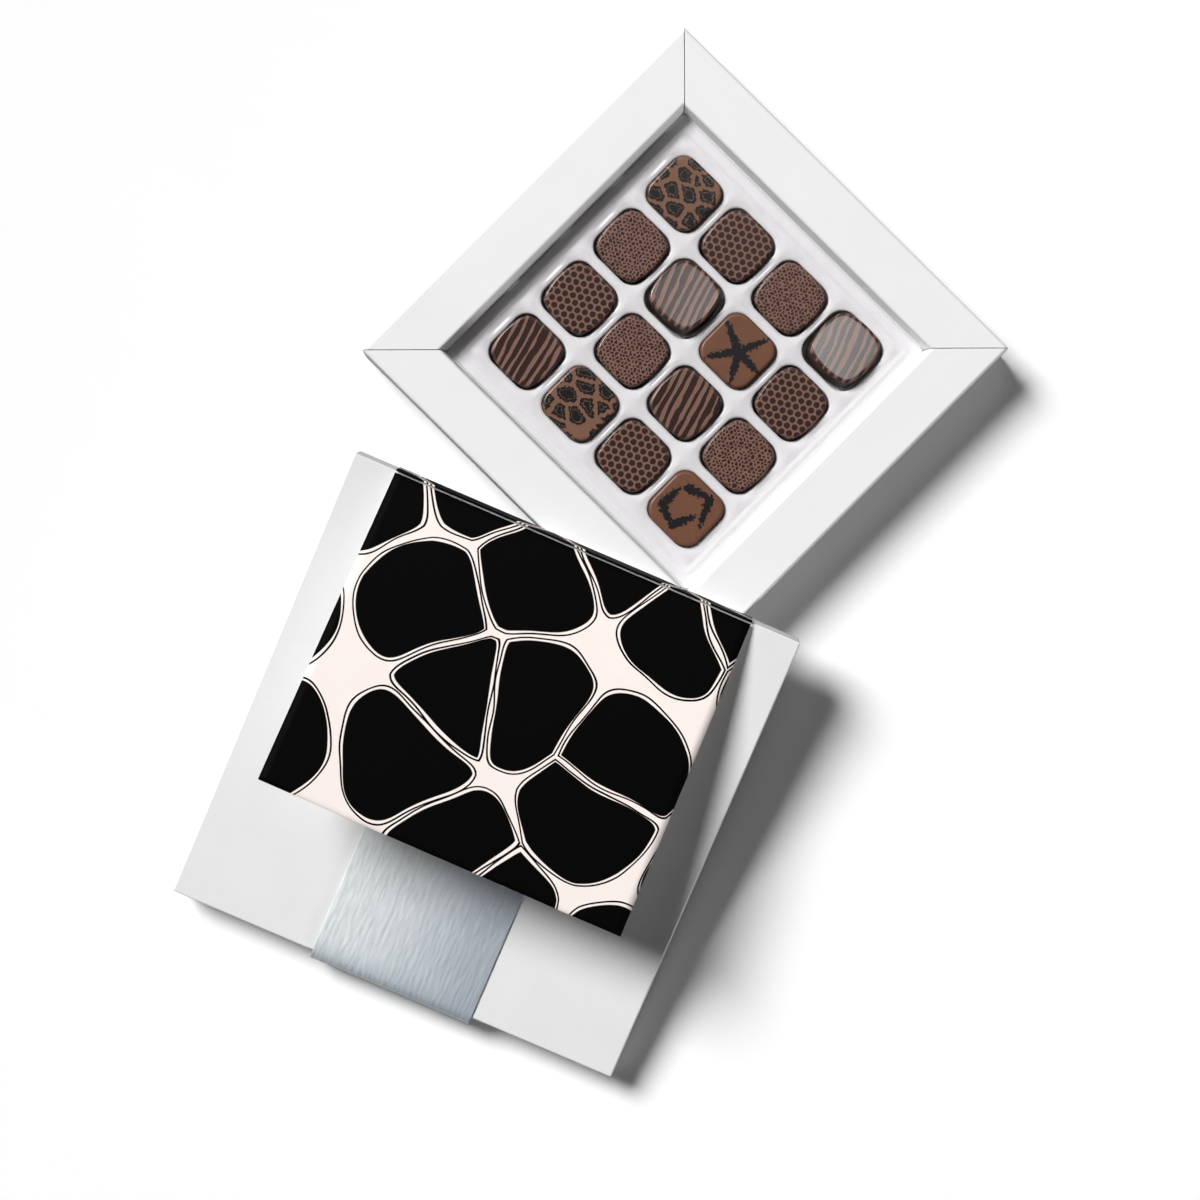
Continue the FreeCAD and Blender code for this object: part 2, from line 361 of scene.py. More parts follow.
def paint_band(nodes):
    """Pale silver crepe, with painted shade and light: darker streaks of painted shade along the rib crests,
    painted shade growing to the right and before the fold, short ticks of painted shade beside the fold, and
    a painted highlight along the fold.
    """
    tooth_size = 0.3
    cloud_size = 14.0
    cloud_push = 14.0
    # Where the painted hem shade, the painted fold highlight and the painted tick shade lie, in millimetres
    # along the strip.
    hem_shade_full = 1.0
    hem_shade_end = 13.0
    fold_highlight_half = 0.9
    fold_highlight_soft = 0.4
    tick_offset = 2.6
    tick_half = 0.8
    tick_size = 0.9
    streak_depth = 0.17
    at = nodes.flat_place("strip")
    x, y, _ = nodes.split(at)
    rib_relief = nodes.noise(along_ribs(nodes, at), rib_step, roughness=0.4)
    tooth = nodes.noise(at, tooth_size)
    cloud = nodes.noise(at, cloud_size, detail=1.0)
    # Painted shade: the band grows darker and bluer towards its right side.
    painted_shade_rightward = nodes.step(x + cloud_push * (cloud - 0.5), -0.5 * band_width, 0.6 * band_width)
    # Painted shade: darker from the end of the band, over the fold and a little onto the top.
    painted_hem_shade = 1 - nodes.step(y, band_fold + hem_shade_full, band_fold + hem_shade_end)
    # Painted highlight: a lighter line along the fold.
    painted_fold_highlight = 1 - nodes.step(abs(y - band_fold), fold_highlight_half, fold_highlight_half + fold_highlight_soft)
    # Painted shade: short dark ticks in a row beside the fold, like the shaded sides of small ridges.
    tick_shade_row = 1 - nodes.step(abs(y - band_fold - tick_offset), tick_half, 2 * tick_half)
    painted_tick_shade = tick_shade_row * nodes.step(nodes.noise(nodes.joined(x, 0.0), tick_size, detail=1.0), 0.56, 0.64)
    # Tones: the paper and its painted shade to the right, then the painted shade at the hem, the painted
    # tick shade and the painted fold highlight.
    paper_tone_with_shade = nodes.mix(painted_shade_rightward, shade(222, 227, 228), shade(160, 168, 177))
    tone_with_hem_shade = nodes.mix(painted_hem_shade * 0.6, paper_tone_with_shade, shade(150, 160, 172))
    tone_with_tick_shade = nodes.mix(painted_tick_shade * 0.6, tone_with_hem_shade, shade(120, 130, 142))
    tone_with_fold_highlight = nodes.mix(painted_fold_highlight * 0.7, tone_with_tick_shade, shade(222, 228, 230))
    # Painted shade: the colour darkens along the rib crests, on top of the real ribs and bump.
    return {
        "Base Color": nodes.mix(0.22 * nodes.step(rib_relief, 0.35, 0.7), tone_with_fold_highlight, shade(156, 166, 177)),
        "Roughness": 0.4 + 0.2 * rib_relief,
        "Normal": nodes.bump(0.9 * rib_relief + 0.1 * tooth, streak_depth),
    }


band_paper_finish = material("band_paper", paint_band, Specular_IOR_Level=0.5)


def paint_sheet(nodes):
    """Clear formed sheet: faint haze and drawing marks."""
    haze_size = 6.0
    mark_size = 1.6
    mark_stretch = (1.0, 1.0, 0.2)
    mark_depth = 0.02
    at = nodes.place()
    haze = nodes.noise(at, haze_size)
    drawn = nodes.noise(nodes.vector("MULTIPLY", at, mark_stretch), mark_size)
    return {
        "Roughness": 0.16 + 0.12 * haze,
        "Alpha": 0.66 + 0.12 * haze,
        "Normal": nodes.bump(drawn, mark_depth),
    }


clear_sheet = material("clear_sheet", paint_sheet, Base_Color=shade(246, 244, 246), IOR=1.5)


# Chocolate tops, on each chocolate's own flat map

def to_nearest_dot(nodes, at, pitch):
    """Distance to the nearest point of many in rows, each row set off by half a step."""
    row_step = pitch * math.sqrt(3)
    x, y, _ = nodes.split(at)
    distances = []
    for offset in (0.0, 0.5):
        dx = (x + offset * pitch) % pitch - pitch / 2
        dy = (y + offset * row_step) % row_step - row_step / 2
        distances.append(nodes.math("SQRT", dx * dx + dy * dy))
    return nodes.math("MINIMUM", *distances)


def dots(nodes, at):
    """Round dots in even rows, with slightly ragged edges."""
    pitch = 2.95
    radius = 1.18
    raggedness = 0.45
    ragged_size = 0.8
    soft = 0.14
    ragged = raggedness * (nodes.noise(at, ragged_size) - 0.5)
    return 1 - nodes.step(to_nearest_dot(nodes, at, pitch) + ragged, radius - soft, radius + soft)


def speckle(nodes, at):
    """Small round flecks of uneven size, close together and out of line."""
    pitch = 1.55
    radius = 0.54
    radius_spread = 0.5
    spread_size = 2.6
    wander = 0.9
    wander_size = 1.9
    soft = 0.09
    uneven = radius + radius_spread * (nodes.noise(at, spread_size, detail=1.0) - 0.5)
    distance = to_nearest_dot(nodes, nodes.drift(at, wander_size, wander), pitch)
    return 1 - nodes.step(distance - uneven, -soft, soft)


def stripes(nodes, at):
    """Long tapering strokes that lean a little and run into each other."""
    pitch = 3.1
    lean = math.radians(17.0)
    sway_width = 4.0
    sway_size = 14.0
    taper_size = 5.0
    fray_size = 0.8
    x, y, _ = nodes.split(at)
    along = x * math.cos(lean) + y * math.sin(lean)
    across = y * math.cos(lean) - x * math.sin(lean)
    sway = nodes.noise(nodes.joined(along * 0.6, across * 1.4), sway_size, detail=1.0) - 0.5
    taper = nodes.noise(nodes.joined(along * 0.5, across * 2.0, 7.0), taper_size, detail=1.0) - 0.5
    fray = nodes.noise(nodes.joined(along * 0.25, across, 3.0), fray_size) - 0.5
    wave = abs((across + sway_width * sway) / pitch % 1.0 - 0.5) * 2.0
    return nodes.step(wave + 1.1 * taper + 0.3 * fray, 0.36, 0.46)


def spots(nodes, at):
    """Rosettes close together: dark blobs with wavy outlines and a fine paler line inside."""
    size = 5.6
    stretch = (1.0, 0.72, 1.0)
    spread = 0.8
    reach = 0.56
    gap = 0.11
    waviness = 0.3
    wave_size = 1.2
    soft = 0.02
    ring_inset = 0.16
    stretched = nodes.vector("MULTIPLY", at, stretch)
    to_centre = nodes.cells(stretched, size, "F1", spread)
    to_edge = nodes.cells(stretched, size, "DISTANCE_TO_EDGE", spread)
    wavy = waviness * (nodes.noise(at, wave_size, detail=1.0) - 0.5)
    distance = nodes.math("MAXIMUM", to_centre - reach, gap - to_edge) + wavy
    inside = 1 - nodes.step(distance, -soft, soft)
    ring = 1 - nodes.step(abs(distance + ring_inset), 0.012, 0.03)
    return inside, ring


def strokes(nodes, at, lines):
    """Brush strokes from point to point that taper to their ends and have thorny sides."""
    half_width = 1.75
    taper = 1.2
    thorn_length = 4.2
    thorn_size = 1.2
    soft = 0.1
    thorns = nodes.noise(at, thorn_size, roughness=0.65) - 0.5
    nearest = None
    for start, end in lines:
        begin = Vector((*start, 0.0))
        run = Vector((*end, 0.0)) - begin
        from_start = nodes.vector("SUBTRACT", at, tuple(begin))
        share = nodes.vector("DOT_PRODUCT", from_start, tuple(run / run.length_squared), output=1)
        held = nodes.add("ShaderNodeClamp", (), {"Value": share})
        foot = nodes.scaled(tuple(run), held)
        distance = nodes.vector("DISTANCE", from_start, foot, output=1)
        reach = distance - half_width + taper * held * held
        nearest = reach if nearest is None else nodes.math("MINIMUM", nearest, reach)
    return 1 - nodes.step(nearest + thorn_length * thorns, -soft, soft)


star_centre = (0.0, -0.5)
star_tips = [(4.9, 10.8), (11.0, -5.2), (-10.4, 7.0), (-10.8, -6.4), (-0.9, -11.4)]
star_strokes = [(star_centre, tip) for tip in star_tips]
bramble_strokes = [
    ((-4.2, 7.6), (4.0, 7.0)), ((-5.3, 7.2), (-8.6, -1.2)), ((-7.8, -0.4), (0.4, -4.6)),
    ((5.9, 5.0), (8.8, -3.8)), ((8.4, -3.9), (-1.4, -8.2)),
]


def chocolate_finish(kind, row, column):
    """Tempered chocolate: plain dark sides, and a printed top in the pattern of its kind."""
    cloud_size = 5.0
    grain_size = 0.4
    print_full = 0.7
    print_end = 1.8
    level_end = 0.1
    ink_depth = 0.03
    bare = shade(84, 50, 32) if kind in squared_tops else shade(60, 38, 30)
    shift = (row_shift * row + first_shift[0], column_shift * column + first_shift[1], 0.0)

    def paint(nodes):
        at = nodes.flat_place("top")
        shifted = nodes.vector("ADD", at, shift)
        depth = nodes.add("ShaderNodeAttribute", {"attribute_name": "depth"}, output="Fac")
        printed = 1 - nodes.step(depth, print_full, print_end)
        level = 1 - nodes.step(depth, 0.0, level_end)
        cloud = nodes.noise(shifted, cloud_size, detail=3.0)
        grain = nodes.noise(shifted, grain_size)
        if kind == "spots":
            ink, rings = spots(nodes, shifted)
            ground = nodes.mix(cloud, shade(124, 84, 62), shade(106, 70, 50))
            dark = nodes.mix(rings, shade(14, 9, 9), shade(98, 72, 58))
        elif kind == "sprig":
            lines = star_strokes if row < cup_count / 2 else bramble_strokes
            ink = strokes(nodes, at, lines)
            ground = nodes.mix(cloud, shade(112, 68, 42), shade(98, 58, 36))
            dark = shade(20, 15, 18)
        else:
            ink = {"dots": dots, "speckle": speckle, "stripes": stripes}[kind](nodes, shifted)
            ground = nodes.mix(cloud, shade(126, 90, 76), shade(112, 78, 65))
            dark = nodes.mix(cloud, shade(52, 26, 18), shade(40, 19, 12))
        top = nodes.mix(ink, ground, dark)
        return {
            "Base Color": nodes.mix(printed, bare, top),
            "Roughness": 0.6 - 0.34 * level + 0.2 * level * (1 - ink) + 0.1 * (grain - 0.5),
            "Coat Weight": level,
            "Normal": nodes.bump(0.25 * grain + 0.75 * ink * printed, ink_depth),
        }

    coat = tipped_coat_ior.get((row, column), level_coat_ior)
    return material(
        f"{kind}_top_r{row + 1}c{column + 1}", paint,
        Specular_IOR_Level=0.5, Coat_IOR=coat, Coat_Roughness=0.15,
    )


# Meshes

# Points along each side of a rounded square, and as many round each corner
outline_steps = 10


def on_circle(centre, radius, degrees):
    angle = math.radians(degrees)
    return (centre[0] + radius * math.cos(angle), centre[1] + radius * math.sin(angle))


def rounded_square(half, corner, bulge=0.0, inset=0.0):
    """Points clockwise round a square with round corners, whose sides swell by the bulge."""
    reach = half - corner - bulge
    quarter = []
    spread = 0.0
    if bulge > 0:
        side_radius = (reach**2 + bulge**2) / (2 * bulge)
        spread = math.degrees(math.asin(reach / side_radius))
        centre = (0.0, reach + bulge - side_radius)
    for step in range(outline_steps):
        share = step / outline_steps
        if bulge > 0:
            degrees = 90 + spread - 2 * spread * share
            quarter.append(on_circle(centre, side_radius + corner - inset, degrees))
        else:
            quarter.append((-reach + 2 * reach * share, half - inset))
    for step in range(outline_steps):
        degrees = 90 - spread - (90 - 2 * spread) * step / outline_steps
        quarter.append(on_circle((reach, reach), corner - inset, degrees))
    points = []
    for _ in range(4):
        points += quarter
        quarter = [(y, -x) for x, y in quarter]
    return points


def at_height(points, z, scale=1.0):
    return [(x * scale, y * scale, z) for x, y in points]


def loft(rings, first_cap=True, last_cap=True):
    """A skin through rings of points, listed up the outside, then inwards, then down the inside."""
    skin = bmesh.new()
    rows = [[skin.verts.new(point) for point in ring] for ring in rings]
    count = len(rows[0])
    for low, high in zip(rows, rows[1:]):
        for here in range(count):
            there = (here + 1) % count
            skin.faces.new((low[here], high[here], high[there], low[there]))
    for ring, capped, turned in ((rows[0], first_cap, False), (rows[-1], last_cap, True)):
        if not capped:
            continue
        centre = skin.verts.new(sum((vert.co for vert in ring), Vector()) / count)
        for here in range(count):
            pair = (ring[here], ring[(here + 1) % count])
            skin.faces.new((centre, *(reversed(pair) if turned else pair)))
    return skin


def flat_map(skin, name, flatten):
    """Gives the skin a flat map, from each point's place in millimetres."""
    layer = skin.loops.layers.uv.new(name)
    for face in skin.faces:
        for loop in face.loops:
            loop[layer].uv = flatten(loop.vert.co)


def to_mesh(skin, name, place=None, smooth=True):
    """A mesh in metres from a skin in millimetres, set in its place."""
    mesh = bpy.data.meshes.new(name)
    skin.to_mesh(mesh)
    skin.free()
    mesh.transform(TO_METRES)
    if place is not None:
        mesh.transform(place)
    if smooth:
        mesh.shade_smooth()
    else:
        mesh.shade_flat()
    return mesh


def added(name, data):
    """A new object in the scene."""
    made = bpy.data.objects.new(name, data)
    bpy.context.scene.collection.objects.link(made)
    return made


def piece(name, mesh, materials, body, slot, *nodes):
    """A finished piece that rides on a body and stands for some nodes."""
    made = added(name, mesh)
    if materials:
        mesh.materials.clear()
    for finish in materials:
        mesh.materials.append(finish)
    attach(made, body)
    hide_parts(*nodes)
    return made


def geometry_tree(name, inputs):
    """A Geometry Nodes tree with named inputs: its nodes, and the sockets of those inputs."""
    tree = bpy.data.node_groups.new(name, "GeometryNodeTree")
    tree.interface.new_socket("Geometry", in_out="OUTPUT", socket_type="NodeSocketGeometry")
    for label, kind in {"Geometry": "Geometry", **inputs}.items():
        tree.interface.new_socket(label, in_out="INPUT", socket_type="NodeSocket" + kind)
    entry = tree.nodes.new("NodeGroupInput")
    nodes = Nodes(tree)
    return nodes, {socket.name: Value(nodes, socket) for socket in entry.outputs if socket.name}


def grown(name, data, nodes, values):
    """The plain mesh that a Geometry Nodes tree makes from some data."""
    holder = added(name, data)
    modifier = holder.modifiers.new(name, "NODES")
    modifier.node_group = nodes.tree
    for item in nodes.tree.interface.items_tree:
        if item.in_out == "INPUT" and item.name in values:
            modifier[item.identifier] = values[item.name]
    evaluated = holder.evaluated_get(bpy.context.evaluated_depsgraph_get())
    mesh = bpy.data.meshes.new_from_object(evaluated)
    holder.modifiers.remove(modifier)
    bpy.data.objects.remove(holder)
    return mesh


# Chocolates

def chocolate_skin(corner, bulge):
    """A dipped square with a rounded foot and rim, marked with the depth of each point below the top."""
    half = chocolate_side / 2
    side_shares = (0.4, 0.8)
    top_shares = (0.96, 0.66, 0.33)
    profile = []
    for degrees in range(-90, 1, 30):
        across, up = on_circle((foot_round, foot_round), foot_round, degrees)
        profile.append((2 * foot_round - across, up))
    for share in side_shares:
        profile.append((0.0, foot_round + share * (chocolate_height - top_round - foot_round)))
    for degrees in range(0, 91, 18):
        across, up = on_circle((top_round, chocolate_height - top_round), top_round, degrees)
        profile.append((2 * top_round - across, up))
    rings = [at_height(rounded_square(half, corner, bulge, inset), z) for inset, z in profile]
    last = rounded_square(half, corner, bulge, top_round)
    rings += [at_height(last, chocolate_height, share) for share in top_shares]
    skin = loft(rings)
    flat_map(skin, "top", lambda point: (point.x, point.y))
    depth = skin.verts.layers.float.new("depth")
    for vert in skin.verts:
        vert[depth] = chocolate_height - vert.co.z
    return skin


def cup_centre(row, column):
    first = (cup_count - 1) / 2 * cup_pitch
    return Vector((first - row * cup_pitch, first - column * cup_pitch, 0.0))


def chocolate_place(row, column, name, mesh):
    """Where a chocolate lies: turned and tipped in the middle of its cup, resting at its node's foot."""
    centre = cup_centre(row, column) * MM
    turn = Matrix.Rotation(math.radians(turns[row][column]), 4, "Z")
    if (row, column) in tilts:
        tilt, bearing = (math.radians(angle) for angle in tilts[row, column])
        turn = Matrix.Rotation(tilt, 4, Vector((-math.sin(bearing), math.cos(bearing), 0.0))) @ turn
    lowest = min((turn @ vert.co).z for vert in mesh.vertices)
    centre.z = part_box(name)[0].z - lowest
    return Matrix.Translation(centre) @ turn


for row in range(cup_count):
    for column in range(cup_count):
        cup = f"_r{row + 1}c{column + 1}"
        name = "chocolate" + cup
        kind = assortment[row][column]
        squared = kind in squared_tops
        skin = chocolate_skin(
            squared_corner if squared else swelling_corner, 0.0 if squared else swelling_bulge
        )
        mesh = to_mesh(skin, name)
        mesh.transform(chocolate_place(row, column, name, mesh))
        slot = "milk_chocolate" if squared else "dark_chocolate"
        piece(kind + cup, mesh, [chocolate_finish(kind, row, column)], name, slot, name)


# Tray

flange_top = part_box("tray")[1].z / MM - node_bead
tray_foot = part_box("tray")[0].z / MM
tray_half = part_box("tray")[1].x / MM + tray_fullness


def on_square(point, half, corner):
    """A point moved out from the centre to a square with round corners."""
    far, near = sorted((abs(point[0]), abs(point[1])), reverse=True)
    length = math.hypot(*point)
    far, near = far / length, near / length
    reach = half - corner
    radius = half / far
    if near * radius > reach:
        towards = reach * (far + near)
        radius = towards + math.sqrt(towards**2 - 2 * reach**2 + corner**2)
    return (point[0] / length * radius, point[1] / length * radius)


def cell_edge():
    """Where the sheet of one cup meets its neighbours: a square whose corners stand a little higher."""
    half = cup_pitch / 2
    ring = rounded_square(cup_land, cup_land - cup_straight)
    square = [on_square(point, half, 0.0) for point in ring]
    edge = []
    for x, y in square:
        nearness = min(abs(x), abs(y)) / half
        rise = nearness * nearness * (3 - 2 * nearness)
        edge.append((x, y, flange_top - land_dip + crossing_rise * rise))
    return edge


def cup_skin(mouth, waist, foot):
    """One cup, from the middle of the lands around it down to its floor."""
    floor = flange_top - cup_depth
    floor_shares = (0.7, 0.35)
    profile = []
    for degrees in range(0, 91, 15):
        inward, up = on_circle((0.0, 0.0), 1.0, 90 + degrees)
        profile.append((cup_land + (cup_land - mouth) * inward, flange_top - cup_mouth_fall * (1 - up)))
    profile.append((waist, flange_top - cup_depth / 2))
    bend_centre = (foot - cup_floor_round, floor + cup_floor_round)
    for degrees in (0, 22, 45, 68, 90):
        profile.append(on_circle(bend_centre, cup_floor_round, -degrees))
    rings = [cell_edge()]
    rings += [at_height(rounded_square(half, half - cup_straight), z) for half, z in profile]
    last = rounded_square(profile[-1][0], profile[-1][0] - cup_straight)
    rings += [at_height(last, floor, share) for share in floor_shares]
    return loft(rings, first_cap=False)


def cell_side():
    """One side of a cup's edge from end to end: the place along it and the height of each point."""
    rounding = 6
    same_place = 10**-rounding
    points = {}
    for x, y, z in cell_edge():
        if y > cup_pitch / 2 - same_place:
            points[round(x, rounding)] = (x, z)
    return sorted(points.values())


def flange_skin():
    """The rim of the tray: from the cups out over a bead, up to a lip and down the skirt."""
    first = (cup_count - 1) / 2 * cup_pitch
    block = cup_count / 2 * cup_pitch
    side = cell_side()[:-1]
    quarter = []
    for cell in range(cup_count):
        quarter += [(cell * cup_pitch - first + x, block, z) for x, z in side]
    edge = []
    for _ in range(4):
        edge += quarter
        quarter = [(y, -x, z) for x, y, z in quarter]
    bead_middle = tray_half - bead_inset - bead_width / 2
    profile = [(block + rim_margin, flange_top)]
    for share in (-1.0, -0.75, -0.4, 0.0, 0.4, 0.75, 1.0):
        height = bead_height * math.cos(share * math.pi / 2) ** 2
        profile.append((bead_middle + share * bead_width / 2, flange_top + height))
    for degrees in range(0, 81, 20):
        angle = math.radians(degrees)
        across = tray_half + lip_flare - lip_width * (1 - math.sin(angle))
        profile.append((across, flange_top + lip_height * (1 - math.cos(angle))))
    profile.append((tray_half + lip_flare, flange_top + lip_height))
    profile.append((tray_half, flange_top))
    profile.append((tray_half - skirt_draft, tray_foot))
    rings = [edge]
    for half, z in profile:
        rings.append([(*on_square(point[:2], half, tray_corner), z) for point in edge])
    return loft(rings[::-1], first_cap=False, last_cap=False)


def places_mesh(cups):
    """A point in the middle of each of these cups."""
    skin = bmesh.new()
    for row, column in cups:
        skin.verts.new(cup_centre(row, column))
    return to_mesh(skin, "places")


def tray_mesh():
    """The rim and its cups as one sheet: snug cups, and wider ones where a chocolate lies tipped."""
    nodes, given = geometry_tree("cups_in_tray", {
        "Snug Cup": "Object", "Snug Places": "Object", "Wide Cup": "Object", "Wide Places": "Object",
        "Finish": "Material",
    })
    parts = [given["Geometry"]]
    for kind in ("Snug", "Wide"):
        places = nodes.add("GeometryNodeObjectInfo", (), {"Object": given[kind + " Places"]}, "Geometry")
        cup = nodes.add("GeometryNodeObjectInfo", (), {"Object": given[kind + " Cup"]}, "Geometry")
        parts.append(nodes.add("GeometryNodeInstanceOnPoints", (), {"Points": places, "Instance": cup}))
    joined = nodes.add("GeometryNodeJoinGeometry", (), {"Geometry": parts})
    whole = nodes.add("GeometryNodeRealizeInstances", (), {"Geometry": joined})
    welded = nodes.add(
        "GeometryNodeMergeByDistance", (), {"Geometry": whole, "Distance": weld_distance * MM}
    )
    finished = nodes.add("GeometryNodeSetMaterial", (), {"Geometry": welded, "Material": given["Finish"]})
    nodes.add("NodeGroupOutput", (), {"Geometry": finished})
    cups = [(row, column) for row in range(cup_count) for column in range(cup_count)]
    level = [cup for cup in cups if cup not in tilts]
    helpers = {}
    for kind, shape, places in (("Snug", snug_cup, level), ("Wide", wide_cup, tilts)):
        helpers[kind + " Cup"] = added("cup", to_mesh(cup_skin(**shape), "cup"))
        helpers[kind + " Places"] = added("places", places_mesh(places))
    mesh = grown("tray", to_mesh(flange_skin(), "flange"), nodes, {**helpers, "Finish": clear_sheet})
    for made in helpers.values():
        bpy.data.objects.remove(made)
    mesh.shade_smooth()
    return mesh


def thicken(made, thickness, rim_material=0, even=True):
    """Gives a sheet its thickness, under the face that shows."""
    modifier = made.modifiers.new("thickness", "SOLIDIFY")
    modifier.thickness = thickness * MM
    modifier.offset = -1.0
    modifier.use_even_offset = even
    modifier.material_offset = rim_material
    modifier.material_offset_rim = rim_material


thicken(piece("formed_tray", tray_mesh(), [], "tray", "clear_sheet", "tray"), tray_sheet, even=False)


# Lid, in its own frame: X to the right, Y from the front edge to the back, Z up from the skirt's foot

crease = next(joint for joint in frame["joints"] if joint["name"] == "flap_turn")
base_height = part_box("rail_front")[1].z / MM
base_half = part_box("rail_right")[1].x / MM
lid_side = 2 * (base_half + lid_clearance + lid_board)
lid_pitch = math.asin((base_height + lean_gap) / (lid_side - lid_board))
lid_heading = math.atan2(-crease["axis"][1], -crease["axis"][0])
lid_turn = Matrix.Rotation(lid_heading, 4, "Z") @ Matrix.Rotation(lid_pitch, 4, "X")
crease_height = lid_height + band_paper + flap_clearance
crease_in_lid = Vector((print_offset, lid_side, crease_height)) * MM
lid_place = Matrix.Translation(Vector(crease["pos_m"]) - lid_turn @ crease_in_lid) @ lid_turn
crease_place = lid_place @ Matrix.Translation(crease_in_lid)


def box_corners(half, front, back, low, high):
    """The corners of a block, first round its underside and then round its top."""
    around = ((-half, front), (half, front), (half, back), (-half, back))
    return [(x, y, z) for z in (low, high) for x, y in around]


def lid_skin():
    """The wrapped boards as one shell, open below."""
    half = lid_side / 2
    skin = bmesh.new()
    outside = box_corners(half, 0.0, lid_side, 0.0, lid_height)
    inside = box_corners(half - lid_board, lid_board, lid_side - lid_board, 0.0, lid_height - lid_board)
    outer = [skin.verts.new(corner) for corner in outside]
    inner = [skin.verts.new(corner) for corner in inside]
    for here in range(4):
        there = (here + 1) % 4
        skin.faces.new((outer[here], outer[there], outer[there + 4], outer[here + 4]))
        skin.faces.new((inner[there], inner[here], inner[here + 4], inner[there + 4]))
        skin.faces.new((outer[there], outer[here], inner[here], inner[there]))
    skin.faces.new(outer[4:])
    skin.faces.new(inner[:3:-1])
    bmesh.ops.recalc_face_normals(skin, faces=skin.faces)
    return skin


def soften(made, radius):
    """Rounds the edges of a piece."""
    modifier = made.modifiers.new("soft_edges", "BEVEL")
    modifier.width = radius * MM
    modifier.segments = 4
    modifier.limit_method = "ANGLE"
    modifier.harden_normals = True


lid = piece(
    "wrapped_lid", to_mesh(lid_skin(), "wrapped_lid", lid_place), [lid_wrap], "lid", "lid_wrap",
    "lid_top", "lid_skirt_front", "lid_skirt_right", "lid_skirt_back", "lid_skirt_left",
)
soften(lid, lid_edge_round)


# Paper band

def band_path():
    """The band's outer face seen from the side: along the lid, over its front edge and back to the skirt."""
    centre = (band_bend_radius - band_proud, lid_height + band_paper - band_bend_radius)
    foot = (-band_seat_gap, band_end_height)
    distance = math.dist(foot, centre)
    towards = math.degrees(math.atan2(foot[1] - centre[1], foot[0] - centre[0])) % 360
    leave = towards - math.degrees(math.acos((band_bend_radius - band_paper) / distance))
    bend = []
    for step in range(bend_steps + 1):
        bend.append(on_circle(centre, band_bend_radius, 90 + (leave - 90) * step / bend_steps))
    outward = on_circle((0.0, 0.0), band_paper, leave)
    end = (foot[0] + outward[0], foot[1] + outward[1])
    return [(lid_side - band_back_gap, lid_height + band_paper), *bend, end]


def band_curve():
    """The band's path as a curve, in metres."""
    curve = bpy.data.curves.new("band_path", "CURVE")
    curve.dimensions = "3D"
    points = band_path()
    spline = curve.splines.new("POLY")
    spline.points.add(len(points) - 1)
    for point, (y, z) in zip(spline.points, points):
        point.co = (0.0, y * MM, z * MM, 1.0)
    return curve


def band_mesh():
    """A strip laid along the path, with ribs that run along it, waver and fade."""
    nodes, given = geometry_tree("crinkled_band", {
        "Width": "Float", "Length": "Float", "Rib Step": "Float", "Rib Height": "Float",
        "Finish": "Material",
    })
    strip = nodes.add("GeometryNodeMeshGrid", (), {
        "Size X": given["Width"], "Size Y": given["Length"],
        "Vertices X": band_columns, "Vertices Y": band_rows,
    })
    x, y, _ = nodes.split(nodes.add("GeometryNodeInputPosition"))
    flat = nodes.scaled(nodes.joined(x, y + given["Length"] / 2), 1 / MM)
    marked = nodes.add(
        "GeometryNodeStoreNamedAttribute", {"data_type": "FLOAT2", "domain": "CORNER"},
        {"Geometry": strip, "Name": "strip", "Value": flat},
    )
    share = 0.5 - y / given["Length"]
    on_path = nodes.add(
        "GeometryNodeSampleCurve", {"mode": "FACTOR", "use_all_curves": True},
        {"Curves": given["Geometry"], "Factor": share}, "Position",
    )
    laid = nodes.add("GeometryNodeSetPosition", (), {
        "Geometry": marked, "Position": nodes.vector("ADD", on_path, nodes.joined(x, 0.0)),
    })
    stored = nodes.add("GeometryNodeInputNamedAttribute", {"data_type": "FLOAT_VECTOR"}, {"Name": "strip"})
    ribs = nodes.add("ShaderNodeTexNoise", (), {
        "Vector": along_ribs(nodes, stored), "Scale": MM / given["Rib Step"],
        "Detail": 2.0, "Roughness": 0.45,
    })
    lift = nodes.scaled(nodes.add("GeometryNodeInputNormal"), (ribs - 0.5) * given["Rib Height"])
    ribbed = nodes.add("GeometryNodeSetPosition", (), {"Geometry": laid, "Offset": lift})
    finished = nodes.add("GeometryNodeSetMaterial", (), {"Geometry": ribbed, "Material": given["Finish"]})
    nodes.add("NodeGroupOutput", (), {
        "Geometry": nodes.add("GeometryNodeRealizeInstances", (), {"Geometry": finished}),
    })
    path = band_path()
    length = sum(math.dist(here, there) for here, there in zip(path, path[1:]))
    mesh = grown("crinkled_band", band_curve(), nodes, {
        "Width": band_width * MM, "Length": length * MM, "Rib Step": rib_step * MM,
        "Rib Height": rib_height * MM, "Finish": band_paper_finish,
    })
    mesh.transform(lid_place)
    mesh.shade_smooth()
    return mesh


thicken(piece("crinkled_band", band_mesh(), [], "lid", "band_paper", "paper_band"), band_sheet)


# Printed card

